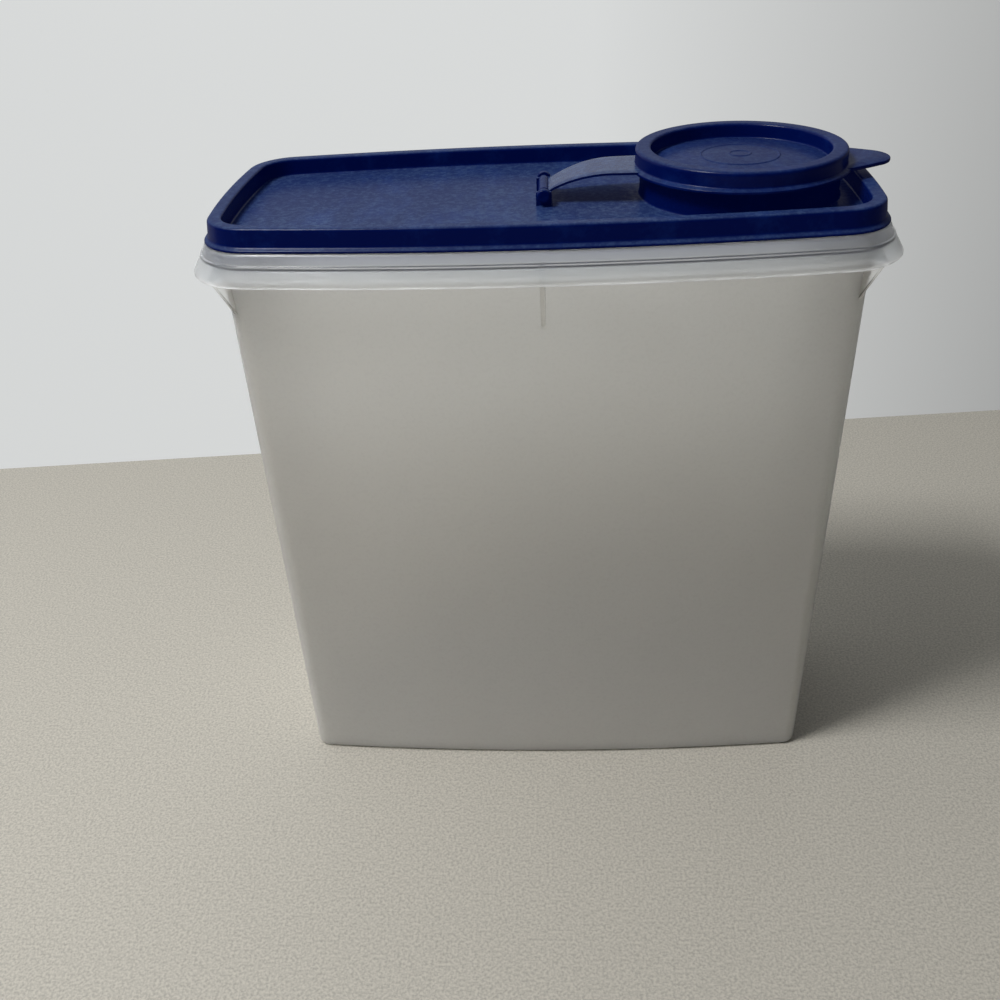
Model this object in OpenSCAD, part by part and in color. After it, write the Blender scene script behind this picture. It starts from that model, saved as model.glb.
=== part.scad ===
// Cereal container with a flip spout.
// A tall tub stands on the table, a lid closes its mouth, and a round cap on a
// strap hinge closes the pouring spout in the lid.
// Millimetres, Z up. The origin is the centre of the tub's underside, on the
// table. X runs along the long side, with the spout at +X and the hinge near
// the middle of the lid. Y runs across.

/* [Overall size] */
// Outside length of the lid rim, between the middles of its ends
lid_l = 245; // [235:0.5:255]
// Outside width of the lid rim, between the middles of its long sides
lid_w = 110.4; // [106:0.2:116]
// Height of the top of the lid rim above the table
rim_z = 253.5; // [220:0.5:275]
// Radius of the lid's corners seen from above
lid_corner_r = 18; // [15:0.5:21]
// Radius that the long sides of the rim bow outward with
side_bow_r = 960; // [800:10:1200]
// Radius that the ends of the rim bow outward with
end_bow_r = 390; // [320:10:460]

/* [Tub] */
// Length of the tub just below its shoulder
tub_l = 235.6; // [232:0.2:236.4]
// Width of the tub just below its shoulder
tub_w = 103; // [101:0.2:104]
// Length of the tub at the table
base_l = 226.6; // [219:0.2:230]
// Width of the tub at the table
base_w = 95; // [90:0.5:99]
// Radius of the tub's upright corners just below the shoulder
tub_corner_r = 10; // [8:0.5:13]
// Radius of the tub's upright corners at the table
base_corner_r = 6; // [5:0.5:9]
// Radius that the long sides of the tub bow outward with
tub_bow_r = 1290; // [1000:10:1500]
// Radius that the ends of the tub bow outward with
tub_end_r = 680; // [500:10:900]
// Thickness of the tub's walls
wall_t = 1.8; // [1.5:0.1:2.2]
// Thickness of the tub's floor
floor_t = 2.2; // [1.8:0.1:3]
// Rounding where the walls meet the underside
foot_r = 2.4; // [1.6:0.1:3.2]

/* [Tub rim and skirt] */
// Depth of the skirt's lower edge below the top of the lid rim
skirt_drop = 19.3; // [17.5:0.1:21]
// Depth of the fold at the top of the skirt below the top of the lid rim
fold_drop = 12.6; // [11.6:0.1:13.4]
// Distance that the skirt's lower edge stands out beyond the lid rim
skirt_out = 7.9; // [7:0.1:9]
// Distance that the fold stands out beyond the lid rim
fold_out = 3.9; // [3.4:0.1:4.6]
// Thickness of the skirt
skirt_t = 1.5; // [1.2:0.1:1.8]
// Height of the sloping shoulder below the skirt
shoulder_h = 16.5; // [14:0.5:20]
// Thickness of the gusset ribs under the skirt
rib_t = 1.8; // [1.4:0.1:3]
// Direction of the corner ribs, in degrees from the long axis
rib_turn = 52; // [40:1:60]

/* [Lid] */
// Width of the lid's hollow rim
rim_w = 5.2; // [5:0.1:5.8]
// Thickness of the rim's outer wall
rim_t = 1.3; // [1.1:0.1:1.4]
// Height of the rim's outer wall
rim_h = 8.2; // [7.6:0.1:8.6]
// Distance that the lower edge of the rim's outer wall stands out
rim_lip = 2.2; // [1.6:0.1:2.6]
// Depth of the lid panel below the top of the rim
panel_drop = 6.7; // [5.8:0.1:7.4]
// Thickness of the lid panel
panel_t = 1.6; // [1.3:0.1:2]
// Depth of the sealing wall inside the tub below the top of the rim
plug_drop = 11; // [10.4:0.1:12.4]
// Free space on each side of the tub's lip inside the hollow rim
lip_gap = 0.35; // [0.25:0.05:0.45]

/* [Spout] */
// Distance of the spout's middle from the middle of the lid
spout_x = 74.5; // [73.5:0.1:74.8]
// Outside radius of the spout collar
collar_r = 37.2; // [36.6:0.1:37.4]
// Thickness of the spout collar
collar_t = 1.8; // [1.6:0.1:2.1]
// Height of the spout collar above the lid panel
collar_h = 15.8; // [14.6:0.1:16.6]

/* [Flip cap] */
// Free space between the collar and the wall of the cap outside it
cap_gap = 0.6; // [0.5:0.05:0.8]
// Free space between the collar and the wall of the cap inside it
plug_gap = 1; // [0.9:0.05:1.3]
// Thickness of the cap's walls
cap_t = 1.3; // [1.1:0.05:1.5]
// Height of the cap's outer wall
cap_h = 7.3; // [6.8:0.1:7.8]
// Depth of the cap's sunken face below its rim, at the edge
cap_drop = 5.6; // [5:0.1:6]
// Rise of the sunken face from its edge to its middle
cap_dome = 2.3; // [1:0.1:3]
// Distance that the lip at the cap's lower edge stands out
cap_lip = 1.8; // [1.2:0.1:2.2]
// Distance from the cap's middle to the tip of the finger tab
tab_reach = 55.5; // [53:0.1:55.5]
// Radius of the rounded tip of the finger tab
tab_r = 10; // [8:0.5:12]
// Thickness of the finger tab and of the strap
tab_t = 1.5; // [1.2:0.1:1.8]

/* [Strap hinge] */
// Distance of the hinge bar from the middle of the lid
hinge_x = 0.7; // [-1:0.1:1.5]
// Height of the hinge bar above the lid panel
hinge_h = 4.1; // [3.9:0.05:4.7]
// Radius of the hinge bar
bar_r = 1.5; // [1.3:0.05:1.8]
// Running clearance around the hinge bar in the clips
bar_gap = 0.05; // [0.03:0.01:0.08]
// Radius of the round sleeve at the end of the strap
sleeve_r = 2.1; // [2:0.05:2.5]
// Width of the strap at the hinge
strap_w = 17; // [14:0.5:19]
// Width of the strap at the cap
strap_cap_w = 24.6; // [22:0.2:27]
// Radius of the strap's arch
strap_arch_r = 49; // [47:0.5:51]
// Width of each clip along the bar
clip_w = 2; // [1.7:0.1:2.4]
// Radius of the knobs at the ends of the bar
knob_r = 2.6; // [2.3:0.1:3]
// Length of each knob along the bar
knob_l = 2.7; // [2.3:0.1:3.2]
// Free space between the clips and the parts that turn beside them
side_gap = 0.3; // [0.25:0.05:0.4]

/* [Hidden] */
$fn = 96;
eps = 0.02;
// segments of a quarter outline: end, corner and long side
end_n = 3;
corner_n = 9;
side_n = 5;
half_l = lid_l / 2;
half_w = lid_w / 2;
panel_z = rim_z - panel_drop;
hinge_z = panel_z + hinge_h;
collar_z = panel_z + collar_h;
// the cap's walls stand on both sides of the collar, its top just above it
skirt_in_r = collar_r + cap_gap;
cap_r = skirt_in_r + cap_t;
bore_r = collar_r - collar_t;
plug_r = bore_r - plug_gap;
dish_r = plug_r - cap_t;
top_gap = 0.4;
cap_z = collar_z + top_gap + cap_t;
cap_low_z = cap_z - cap_h;
dish_z = cap_z - cap_drop;
dome_r = (dish_r * dish_r + cap_dome * cap_dome) / (2 * cap_dome);
strap_z = cap_low_z + tab_t + 0.2;
strap_flat_x = hinge_x + 26.3;
strap_w0 = strap_w / 2;
clip_y = strap_w0 + side_gap;
knob_y = clip_y + clip_w + side_gap;
clip_t = 1.4;
clip_r = bar_r + bar_gap + clip_t;
// the clips end this high above the bar's middle, so they hold it by more than half
jaw_h = 0.6 * bar_r;
// offsets of the hollow rim's faces from the outside of the lid rim
channel_out = -rim_t;
channel_in = -(rim_w - rim_t);
channel_top = -1.5;
lip_out = channel_out - lip_gap;
lip_in = channel_in + lip_gap;
seat_gap = 0.4;
ledge_drop = rim_h + seat_gap;

// A quarter of a closed outline of four bowed sides and round corners, from
// the middle of the +X end to the middle of the +Y side. All arcs meet
// tangentially. a, b: half sizes; r: corner; rs, re: bow of sides and ends.
function quarter(a, b, r, rs, re) =
    let (ex = a - re, sy = b - rs)
    let (c = arc_middle(a, b, r, rs, re))
    let (a0 = atan2(c.y, c.x - ex), a1 = atan2(c.y - sy, c.x))
    concat(
        [for (i = [0 : end_n]) [ex + re * cos(a0 * i / end_n), re * sin(a0 * i / end_n)]],
        [for (i = [1 : corner_n]) let (t = a0 + (a1 - a0) * i / corner_n)
            [c.x + r * cos(t), c.y + r * sin(t)]],
        [for (i = [1 : side_n]) let (t = a1 + (90 - a1) * i / side_n)
            [rs * cos(t), sy + rs * sin(t)]]
    );

// The middle of a corner arc, from the same sizes: it lies where two circles
// around the middles of the end's and the side's arc cross
function arc_middle(a, b, r, rs, re) =
    let (ex = a - re, sy = b - rs)
    let (d = sqrt(ex * ex + sy * sy))
    let (ra = rs - r, rb = re - r)
    let (m = (ra * ra - rb * rb + d * d) / (2 * d))
    corner_of(ex, sy, m, sqrt(ra * ra - m * m), d);

// The crossing, at +X and +Y, of the two circles, m and h being the distances
// along and across the line between their middles
function corner_of(ex, sy, m, h, d) =
    let (ux = ex / d, uy = -sy / d)
    let (p = [m * ux - h * uy, sy + m * uy + h * ux])
    let (q = [m * ux + h * uy, sy + m * uy - h * ux])
    (p.x > 0 && p.y > 0) ? p : q;

function outline(a, b, r, rs, re) =
    let (q = quarter(a, b, r, rs, re), k = len(q))
    concat(
        q,
        [for (i = [k - 2 : -1 : 0]) [-q[i].x, q[i].y]],
        [for (i = [1 : k - 1]) [-q[i].x, -q[i].y]],
        [for (i = [k - 2 : -1 : 1]) [q[i].x, -q[i].y]]
    );

// The lid rim's outline moved outward by o
function rim_line(o) =
    outline(half_l + o, half_w + o, lid_corner_r + o, side_bow_r + o, end_bow_r + o);

// The tub's outline at a share t of the way from the table to the shoulder
function tub_line(t, o) =
    outline(
        mix(base_l, tub_l, t) / 2 + o,
        mix(base_w, tub_w, t) / 2 + o,
        mix(base_corner_r, tub_corner_r, t) + o,
        tub_bow_r + o,
        tub_end_r + o
    );

function mix(a, b, t) = a + (b - a) * t;
function lifted(line, z) = [for (p = line) [p.x, p.y, z]];
function blended(la, lb, t) = [for (i = [0 : len(la) - 1]) mix(la[i], lb[i], t)];

// A solid through a row of outlines; closed joins the last one to the first,
// otherwise the first and last ones are filled in
module loft(rows, closed = false) {
    n = len(rows[0]);
    m = len(rows);
    last = closed ? m - 1 : m - 2;
    sides = [for (k = [0 : last], j = [0 : n - 1], s = [0, 1])
        let (u = (j + 1) % n, v = (k + 1) % m)
        s == 0 ? [k * n + j, v * n + j, v * n + u] : [k * n + j, v * n + u, k * n + u]];
    ends = closed ? [] : [
        [for (j = [0 : n - 1]) j],
        [for (j = [n - 1 : -1 : 0]) (m - 1) * n + j]
    ];
    polyhedron(points = [for (row = rows, p = row) p], faces = concat(sides, ends));
}

shoulder_z = rim_z - skirt_drop - shoulder_h;

// A point row of the shoulder: w is 0 on the tub and 1 at the neck
function shoulder_row(w, z, neck_o, tub_o) =
    lifted(blended(tub_line(1, tub_o), rim_line(neck_o), w), z);

module container() {
    color([0.86, 0.87, 0.85, 0.6])
    union() {
        loft([
            lifted(tub_line(0, -foot_r), 0),
            lifted(tub_line(0, -foot_r * 0.3), foot_r * 0.3),
            lifted(tub_line(0.005, 0), foot_r),
            lifted(tub_line(0.5, 0), shoulder_z * 0.5),
            lifted(tub_line(1, 0), shoulder_z),
            shoulder_row(0.07, shoulder_z + shoulder_h * 0.24, 0, 0),
            shoulder_row(0.24, shoulder_z + shoulder_h * 0.46, 0, 0),
            shoulder_row(0.5, shoulder_z + shoulder_h * 0.68, 0, 0),
            shoulder_row(0.82, shoulder_z + shoulder_h * 0.88, 0, 0),
            lifted(rim_line(0), rim_z - skirt_drop),
            lifted(rim_line(0), rim_z - fold_drop - skirt_t),
            lifted(rim_line(fold_out - skirt_t * 0.7), rim_z - fold_drop - skirt_t),
            lifted(rim_line(skirt_out - skirt_t), rim_z - skirt_drop),
            lifted(rim_line(skirt_out - 0.3), rim_z - skirt_drop),
            lifted(rim_line(skirt_out), rim_z - skirt_drop + 0.4),
            lifted(rim_line(fold_out + 0.9), rim_z - fold_drop - 0.7),
            lifted(rim_line(fold_out), rim_z - fold_drop),
            lifted(rim_line(rim_lip + 0.5), rim_z - ledge_drop - 0.6),
            lifted(rim_line(rim_lip), rim_z - ledge_drop),
            lifted(rim_line(lip_out), rim_z - ledge_drop),
            lifted(rim_line(lip_out), rim_z + channel_top - seat_gap - 0.5),
            lifted(rim_line(lip_out - 0.4), rim_z + channel_top - seat_gap),
            lifted(rim_line(lip_in + 0.4), rim_z + channel_top - seat_gap),
            lifted(rim_line(lip_in), rim_z + channel_top - seat_gap - 0.5),
            lifted(rim_line(lip_in), rim_z - skirt_drop + 1),
            shoulder_row(0.74, shoulder_z + shoulder_h * 0.8, lip_in, -wall_t),
            shoulder_row(0.34, shoulder_z + shoulder_h * 0.5, lip_in, -wall_t),
            shoulder_row(0.08, shoulder_z + shoulder_h * 0.18, lip_in, -wall_t),
            lifted(tub_line(1, -wall_t), shoulder_z - 1),
            lifted(tub_line(0.5, -wall_t), shoulder_z * 0.5),
            lifted(tub_line(0.03, -wall_t), floor_t + 3),
            lifted(tub_line(0.01, -wall_t - 0.8), floor_t + 0.8),
            lifted(tub_line(0, -wall_t - 3), floor_t)
        ]);
        // ribs in the middles of the long sides
        for (turn = [90, 270])
            gusset([0, 0], turn, half_w, tub_w / 2);
        // ribs at the corners
        for (sx = [-1, 1], sy = [-1, 1])
            scale([sx, sy, 1])
            gusset(rim_corner, rib_turn, lid_corner_r, corner_reach(rib_turn));
    }
}

// The middles of the corner arcs of the rim and of the tub below its shoulder
rim_corner = arc_middle(half_l, half_w, lid_corner_r, side_bow_r, end_bow_r);
tub_corner = arc_middle(tub_l / 2, tub_w / 2, tub_corner_r, tub_bow_r, tub_end_r);

// Distance from the middle of the rim's corner arc to the tub's corner, in the
// direction a
function corner_reach(a) =
    let (u = [cos(a), sin(a)], d = tub_corner - rim_corner)
    let (across = d.x * u.y - d.y * u.x)
    d * u + sqrt(tub_corner_r * tub_corner_r - across * across);

// A thin upright rib under the skirt. It stands in the direction turn from the
// point from, neck_d and tub_d being the distances of the neck and of the tub
module gusset(from, turn, neck_d, tub_d) {
    under_z = rim_z - fold_drop - skirt_t + 0.6;
    translate([from.x, from.y, 0])
    rotate([0, 0, turn])
    rotate([90, 0, 0])
    translate([0, 0, -rib_t / 2])
    linear_extrude(rib_t)
    polygon([
        [neck_d - 0.8, under_z],
        [tub_d - 0.8, shoulder_z + 4],
        [tub_d - 0.8, shoulder_z + 1],
        [neck_d + skirt_out - 0.9, rim_z - skirt_drop + 0.5],
        [neck_d + fold_out - 1, under_z]
    ]);
}

module lid() {
    color([0.09, 0.11, 0.36])
    difference() {
        union() {
            lid_rim();
            translate([0, 0, panel_z - panel_t])
            linear_extrude(panel_t)
            polygon(rim_line(-rim_w + rim_t * 0.5));
            translate([spout_x, 0, 0])
            rotate_extrude()
            collar_profile();
            for (side = [-1, 1])
                clip(side);
        }
        translate([spout_x, 0, panel_z - panel_t - 1])
        cylinder(r = bore_r, h = panel_t + 2);
    }
}

// The hollow rim: an outer wall and a sealing wall with a channel between them
module lid_rim() {
    top = channel_top;
    loft([
        lifted(rim_line(rim_lip - 0.6), rim_z - rim_h),
        lifted(rim_line(rim_lip), rim_z - rim_h + 0.35),
        lifted(rim_line(rim_lip - 0.1), rim_z - rim_h + 0.9),
        lifted(rim_line(0.75), rim_z - rim_h + 1.7),
        lifted(rim_line(0), rim_z - 1),
        lifted(rim_line(-0.3), rim_z - 0.3),
        lifted(rim_line(-1), rim_z),
        lifted(rim_line(-rim_w + 1), rim_z),
        lifted(rim_line(-rim_w + 0.3), rim_z - 0.3),
        lifted(rim_line(-rim_w), rim_z - 1),
        lifted(rim_line(-rim_w), rim_z - plug_drop),
        lifted(rim_line(channel_in - 0.5), rim_z - plug_drop),
        lifted(rim_line(channel_in), rim_z - plug_drop + 1.2),
        lifted(rim_line(channel_in), rim_z + top),
        lifted(rim_line(channel_out), rim_z + top),
        lifted(rim_line(rim_lip - 1.5), rim_z - rim_h)
    ], closed = true);
}

// Half section of the spout collar with a rounded lip and a small fillet below
module collar_profile() {
    round_r = collar_t / 2 - eps;
    translate([bore_r, panel_z - panel_t + eps])
    square([collar_t, collar_h + panel_t - round_r - eps]);
    translate([bore_r + collar_t / 2, collar_z - round_r])
    circle(r = round_r);
    difference() {
        translate([collar_r - eps, panel_z - 0.5])
        square([1.2, 1.7]);
        translate([collar_r + 1.2, panel_z + 1.2])
        circle(r = 1.2);
    }
}

// A clip that holds the hinge bar from below, open at its top where the bar
// snaps in
module clip(side) {
    translate([hinge_x, side * (clip_y + clip_w / 2) + clip_w / 2, hinge_z])
    rotate([90, 0, 0])
    linear_extrude(clip_w)
    difference() {
        union() {
            circle(r = clip_r);
            translate([-clip_r, -hinge_h - 0.6])
            square([2 * clip_r, hinge_h + 0.6]);
        }
        circle(r = bar_r + bar_gap);
        translate([-clip_r - 1, jaw_h])
        square([2 * clip_r + 2, clip_r]);
    }
}

module flip_cap() {
    color([0.09, 0.11, 0.36])
    union() {
        translate([spout_x, 0, 0])
        rotate_extrude()
        cap_profile();
        difference() {
            union() {
                strap();
                tab();
            }
            translate([spout_x, 0, cap_low_z - 1])
            cylinder(r = skirt_in_r + 0.3, h = cap_h);
        }
        hinge_bar();
    }
}

// Half section of the cap: outer wall with a lip, flat rim, wall inside the
// spout and a sunken, slightly domed face
module cap_profile() {
    edge = 1.1;
    floor_z = dish_z - cap_t;
    difference() {
        union() {
            // outer wall, rim and inner wall as one thick ring
            translate([dish_r, floor_z])
            square([cap_r - dish_r, cap_z - floor_z - edge]);
            translate([dish_r + edge, cap_z - edge - eps])
            square([cap_r - dish_r - 2 * edge, edge + eps]);
            translate([dish_r + edge, cap_z - edge])
            circle(r = edge);
            translate([cap_r - edge, cap_z - edge])
            circle(r = edge);
            translate([cap_r - cap_t, cap_low_z])
            square([cap_t, cap_h - edge]);
            lip_profile();
        }
        // space for the collar
        translate([plug_r, floor_z - 2])
        square([skirt_in_r - plug_r, cap_z - cap_t - floor_z + 2]);
        // lead-in at the foot of the inner wall
        translate([0, floor_z - 1])
        polygon([[plug_r + eps, 0], [plug_r + eps, 2.6], [plug_r - 0.7, 1], [plug_r - 0.7, 0]]);
    }
    // sunken face, a shallow dome
    intersection() {
        translate([0, dish_z + cap_dome - dome_r])
        difference() {
            circle(r = dome_r);
            circle(r = dome_r - cap_t);
        }
        translate([0, floor_z - 0.5])
        square([dish_r + cap_t * 0.4, cap_drop + cap_t]);
    }
    // ring on the sunken face and a small one in its middle
    face_ring(14.5, 0.8);
    face_ring(3.9, 0.7);
}

// Small raised ring on the sunken face, r from the middle
module face_ring(r, w) {
    z = dish_z + cap_dome - r * r / (2 * dome_r);
    translate([r - w / 2, z - 0.4])
    square([w, 0.7]);
}

// Lip around the foot of the cap's outer wall
module lip_profile() {
    translate([cap_r - eps, cap_low_z])
    polygon([[0, 0], [cap_lip - 0.3, 0], [cap_lip, 0.3], [cap_lip, 0.9], [0, 1.7]]);
}

// Strap from the hinge sleeve, arched, to the cap's outer wall
module strap() {
    reach = spout_x - 20;
    intersection() {
        translate([0, strap_cap_w, 0])
        rotate([90, 0, 0])
        linear_extrude(2 * strap_cap_w)
        union() {
            intersection() {
                translate([strap_flat_x, strap_z - strap_arch_r])
                difference() {
                    circle(r = strap_arch_r, $fn = 240);
                    circle(r = strap_arch_r - tab_t, $fn = 240);
                }
                translate([hinge_x + 0.6, hinge_z - 3])
                square([strap_flat_x - hinge_x - 0.6, strap_z - hinge_z + 5]);
            }
            translate([strap_flat_x - eps, strap_z - tab_t])
            square([reach - strap_flat_x, tab_t]);
        }
        translate([0, 0, hinge_z - 4])
        linear_extrude(20)
        strap_plan(reach);
    }
}

// The strap seen from above. It keeps its width beside the clips, then widens
// along a curve up to the cap
module strap_plan(reach) {
    steps = 10;
    start = clip_r + 1;
    full = spout_x - skirt_in_r - hinge_x;
    side = concat(
        [[hinge_x, strap_w0]],
        [for (i = [0 : steps]) let (t = i / steps)
            [hinge_x + mix(start, full, t), mix(strap_cap_w / 2, strap_w0, (1 - t) * (1 - t))]],
        [[reach, strap_cap_w / 2]]
    );
    polygon(concat(side, [for (i = [len(side) - 1 : -1 : 0]) [side[i].x, -side[i].y]]));
}

// Finger tab, a rounded tongue at the foot of the cap's outer wall
module tab() {
    tip_x = spout_x + tab_reach - tab_r;
    translate([0, 0, cap_low_z])
    linear_extrude(tab_t)
    union() {
        translate([tip_x, 0])
        circle(r = tab_r);
        polygon([
            [spout_x + 25, -tab_r - 12],
            [spout_x + 36, -tab_r - 7.4],
            [tip_x + tab_r * 0.42, -tab_r * 0.9075],
            [tip_x + tab_r * 0.42, tab_r * 0.9075],
            [spout_x + 36, tab_r + 7.4],
            [spout_x + 25, tab_r + 12]
        ]);
    }
}

// Sleeve, bar and knobs on the hinge line
module hinge_bar() {
    translate([hinge_x, 0, hinge_z])
    rotate([90, 0, 0]) {
        translate([0, 0, -strap_w0])
        cylinder(r = sleeve_r, h = strap_w);
        translate([0, 0, -knob_y - 1])
        cylinder(r = bar_r, h = 2 * knob_y + 2);
        for (side = [0, 180])
            rotate([side, 0, 0])
            translate([0, 0, knob_y])
            knob();
    }
}

// A round knob with a rounded outer edge, from 0 upward
module knob() {
    edge = 0.8;
    rotate_extrude() {
        square([knob_r, knob_l - edge]);
        square([knob_r - edge, knob_l]);
        translate([knob_r - edge, knob_l - edge])
        circle(r = edge);
    }
}

container();
lid();
flip_cap();
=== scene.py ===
"""Cereal container with a flip spout, dressed for rendering.

A frosted tub, a navy press-on lid with a pouring spout, and a navy flip cap
on a strap hinge. Lengths are metres, Z is up, the origin is the centre of the
tub's underside, and the spout is at +X. Shapes are surfaces on grids, worked
out from the sizes in the property groups below.
"""

import math

import bpy
import numpy as np
from bpy.props import FloatProperty, FloatVectorProperty, PointerProperty
from mathutils import Matrix


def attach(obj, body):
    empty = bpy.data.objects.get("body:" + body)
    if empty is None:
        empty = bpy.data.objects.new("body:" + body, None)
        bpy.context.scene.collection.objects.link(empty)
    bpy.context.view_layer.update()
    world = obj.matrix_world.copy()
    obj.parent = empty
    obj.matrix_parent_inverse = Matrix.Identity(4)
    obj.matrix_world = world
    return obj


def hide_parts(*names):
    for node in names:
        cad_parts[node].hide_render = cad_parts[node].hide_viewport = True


bl_info = {
    "name": "Cereal container with flip spout",
    "version": (1, 0, 0),
    "blender": (4, 5, 0),
    "location": "3D View > Sidebar > Keeper",
    "description": "Builds a frosted dry-food keeper with a navy lid and a flip cap",
    "category": "Add Mesh",
}

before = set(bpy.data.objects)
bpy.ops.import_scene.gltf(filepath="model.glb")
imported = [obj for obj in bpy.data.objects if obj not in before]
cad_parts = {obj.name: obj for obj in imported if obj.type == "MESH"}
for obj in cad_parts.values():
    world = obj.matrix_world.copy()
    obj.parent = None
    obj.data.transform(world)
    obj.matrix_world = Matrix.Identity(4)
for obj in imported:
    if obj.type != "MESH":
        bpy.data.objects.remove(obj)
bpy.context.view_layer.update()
MM = 0.001


def size(name, millimetres, description):
    """A length property, given in millimetres and kept in metres."""
    return FloatProperty(
        name=name,
        description=description,
        default=millimetres * MM,
        min=0.0,
        precision=5,
        unit="LENGTH",
    )


def tone(name, rgb, description):
    """A colour property."""
    return FloatVectorProperty(
        name=name, description=description, default=rgb, size=3, min=0.0, max=1.0, subtype="COLOR"
    )


class RimSizes(bpy.types.PropertyGroup):
    """Sizes that the lid's rim and the tub's neck share."""

    half_l: size("Half length", 122.5, "Middle of the lid to the middle of its end")
    half_w: size("Half width", 55.2, "Middle of the lid to the middle of its long side")
    top: size("Rim height", 253.5, "Table to the top of the lid rim")
    corner: size("Corner radius", 18, "Radius of the lid's corners from above")
    side_bow: size("Side bow", 960, "Radius that the long sides bow outward with")
    end_bow: size("End bow", 390, "Radius that the ends bow outward with")
    width: size("Rim width", 5.2, "Width of the lid's hollow rim")
    wall: size("Rim wall", 1.3, "Thickness of the rim's walls")
    height: size("Rim drop", 8.2, "Height of the rim's outer wall")
    flange: size("Rim flange", 2.2, "How far the foot of the outer wall stands out")
    plug: size("Sealing wall", 11, "Depth of the sealing wall below the rim's top")
    gap: size("Lip gap", 0.35, "Free space on each side of the tub's lip")


class TubSizes(bpy.types.PropertyGroup):
    """Sizes of the frosted tub."""

    top_l: size("Shoulder half length", 117.8, "Half length just below the shoulder")
    top_w: size("Shoulder half width", 51.5, "Half width just below the shoulder")
    base_l: size("Base half length", 113.3, "Half length at the table")
    base_w: size("Base half width", 47.5, "Half width at the table")
    top_corner: size("Upper corner radius", 10, "Radius of the upright corners at the top")
    base_corner: size("Lower corner radius", 6, "Radius of the upright corners at the table")
    side_bow: size("Side bow", 1290, "Radius that the long sides bow outward with")
    end_bow: size("End bow", 680, "Radius that the ends bow outward with")
    wall: size("Wall", 1.8, "Thickness of the walls")
    floor: size("Floor", 2.2, "Thickness of the floor")
    foot: size("Foot rounding", 2.4, "Rounding where the walls meet the underside")
    skirt_drop: size("Skirt drop", 19.3, "Skirt's lower edge below the lid rim's top")
    fold_drop: size("Fold drop", 12.6, "Fold of the skirt below the lid rim's top")
    skirt_out: size("Skirt reach", 7.9, "Skirt's lower edge beyond the lid rim")
    fold_out: size("Fold reach", 3.9, "Fold of the skirt beyond the lid rim")
    skirt: size("Skirt thickness", 1.5, "Thickness of the skirt")
    shoulder: size("Shoulder height", 16.5, "Height of the sloping shoulder")
    rib: size("Rib thickness", 1.8, "Thickness of the gusset ribs")
    rib_turn: FloatProperty(
        name="Corner rib direction",
        description="Direction of the corner ribs from the long axis, in degrees",
        default=52.0,
        min=0.0,
        max=90.0,
    )


class SpoutSizes(bpy.types.PropertyGroup):
    """Sizes of the lid's panel and pouring spout."""

    panel_drop: size("Panel drop", 6.7, "Panel below the top of the rim")
    panel: size("Panel thickness", 1.6, "Thickness of the panel")
    x: size("Spout place", 74.5, "Middle of the lid to the middle of the spout")
    radius: size("Collar radius", 37.2, "Outside radius of the spout collar")
    wall: size("Collar wall", 1.8, "Thickness of the collar")
    height: size("Collar height", 15.8, "Height of the collar above the panel")


class CapSizes(bpy.types.PropertyGroup):
    """Sizes of the flip cap, its tab and its strap."""

    outer_gap: size("Outer gap", 0.6, "Space between collar and the wall outside it")
    inner_gap: size("Inner gap", 1, "Space between collar and the wall inside it")
    wall: size("Cap wall", 1.3, "Thickness of the cap's walls")
    height: size("Cap height", 7.3, "Height of the cap's outer wall")
    drop: size("Face drop", 5.6, "Sunken face below the cap's rim, at its edge")
    dome: size("Face dome", 2.3, "Rise of the sunken face to its middle")
    lip: size("Cap lip", 1.8, "How far the lip at the cap's foot stands out")
    tab_reach: size("Tab reach", 55.5, "Middle of the cap to the tip of the tab")
    tab_tip: size("Tab tip radius", 10, "Radius of the tab's rounded tip")
    tab_root: size("Tab root", 17.6, "Half width of the tab where it leaves the cap")
    sheet: size("Tab thickness", 1.5, "Thickness of the tab and the strap")


class HingeSizes(bpy.types.PropertyGroup):
    """Sizes of the strap hinge."""

    x: size("Hinge place", 0.7, "Middle of the lid to the hinge bar")
    height: size("Hinge height", 4.1, "Hinge bar above the panel")
    bar: size("Bar radius", 1.5, "Radius of the hinge bar")
    bar_gap: size("Bar clearance", 0.05, "Running clearance in the clips")
    sleeve: size("Sleeve radius", 2.1, "Radius of the sleeve at the strap's end")
    strap_half: size("Strap half width", 8.5, "Half width of the strap at the hinge")
    strap_cap_half: size("Strap half width at the cap", 12.3, "Half width at the cap")
    arch: size("Arch radius", 49, "Radius of the strap's arch")
    level: size("Level from", 26.3, "Hinge bar to the place where the strap turns level")
    clip: size("Clip width", 2, "Width of each clip along the bar")
    clip_wall: size("Clip wall", 1.4, "Thickness of a clip around the bar")
    jaw: size("Jaw height", 0.9, "Height of the clips above the middle of the bar")
    knob: size("Knob radius", 2.6, "Radius of the knobs at the bar's ends")
    knob_length: size("Knob length", 2.7, "Length of each knob")
    side_gap: size("Side gap", 0.3, "Space beside the clips")


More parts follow.
